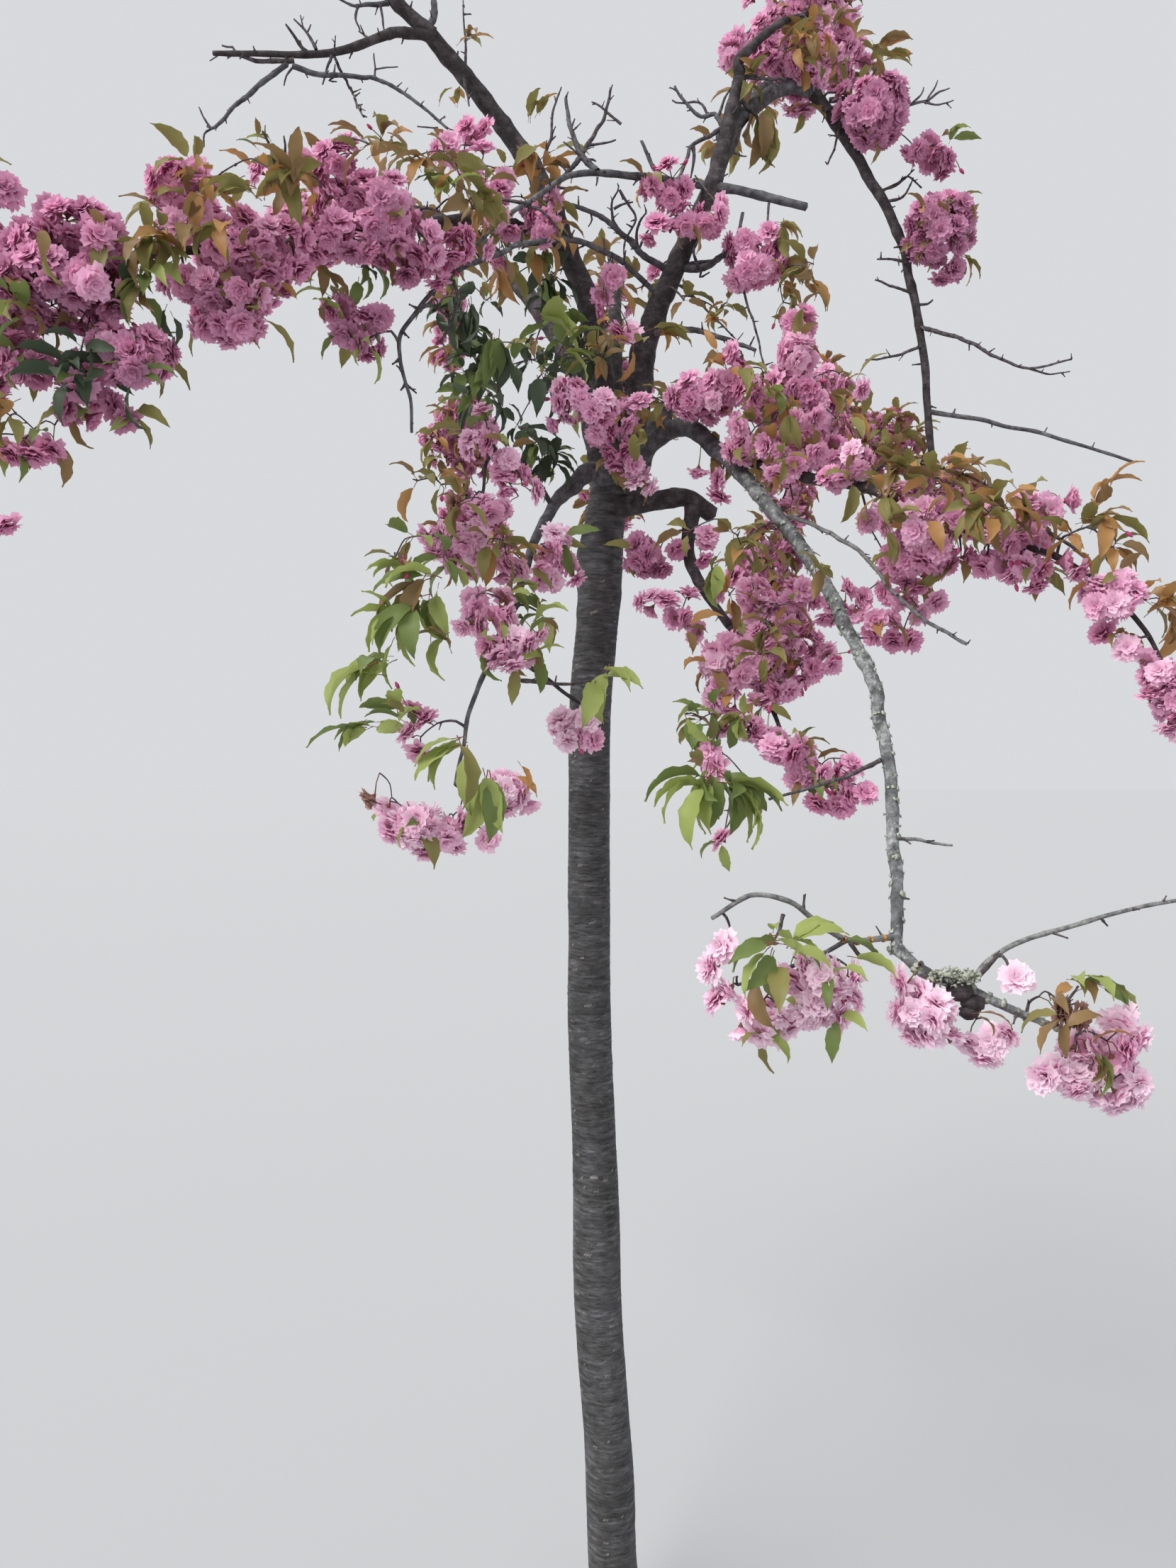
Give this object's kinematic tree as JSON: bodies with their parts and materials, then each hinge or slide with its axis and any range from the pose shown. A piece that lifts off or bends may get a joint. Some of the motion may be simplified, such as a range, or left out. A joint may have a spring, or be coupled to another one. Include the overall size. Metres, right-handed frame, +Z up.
{
  "type": "weeping cherry tree",
  "caption": "Top-grafted weeping cherry tree in full double pink flower: a straight bare stem with a few arching boughs and hanging masses of blossom.",
  "frame": {"origin": "centre of the flat cut under the stem, at ground level", "axes": "+Z up along the stem, -Y towards the viewer of the picture, +X to the viewer's right"},
  "size_m": [1.846, 1.6867, 3.121],
  "materials": {
    "stem_bark": "matt grey-brown bark with rings of lenticels",
    "bough_bark": "matt dark grey-brown bark",
    "lichened_bark": "matt bark crusted with pale lichen",
    "blossom": "soft double pink flowers",
    "blossom_and_leaf": "pink flowers among green and bronze young leaves"
  },
  "bodies": {
    "root": {"stem": "stem_bark", "left_leader": "bough_bark", "right_leader": "bough_bark", "left_leader_top": "bough_bark", "lichened_shoulder": "lichened_bark", "lichened_bough": "lichened_bark", "lichened_tip": "lichened_bark", "hooked_limb": "bough_bark", "hooked_limb_fall": "bough_bark", "left_loop": "bough_bark", "left_bough": "bough_bark", "crossing_bough": "bough_bark", "upper_crossing": "bough_bark", "right_bough": "bough_bark", "right_arch": "bough_bark", "right_arch_fall": "bough_bark", "cut_stub": "bough_bark", "arch_side_twig": "bough_bark", "bare_side_branch": "bough_bark", "low_arching_twig": "bough_bark", "low_bare_twig": "bough_bark", "stem_front_twig": "bough_bark", "back_left_bough": "bough_bark", "back_centre_bough": "bough_bark", "back_right_bough": "bough_bark", "back_top_limb": "bough_bark", "crown_right": "blossom", "arch_poms_upper": "blossom", "arch_pom_lower": "blossom", "leader_cluster": "blossom", "inner_right_pom": "blossom", "leader_left_poms": "blossom", "left_upper": "blossom", "left_middle": "blossom", "left_drop": "blossom", "left_outer": "blossom", "left_outer_hang": "blossom", "left_far": "blossom", "head_front": "blossom", "right_upper": "blossom", "left_curtain": "blossom", "left_curtain_low": "blossom_and_leaf", "left_low": "blossom_and_leaf", "stem_front": "blossom", "under_head_right": "blossom", "right_curtain": "blossom", "right_curtain_low": "blossom_and_leaf", "right_shoulder": "blossom", "right_middle": "blossom", "right_end": "blossom", "low_right_inner": "blossom", "low_right_outer": "blossom", "crown_left": "blossom", "back_left": "blossom", "back_left_hang": "blossom", "back_centre": "blossom", "back_top": "blossom", "back_right": "blossom", "back_right_hang": "blossom"}
  },
  "joints": []
}
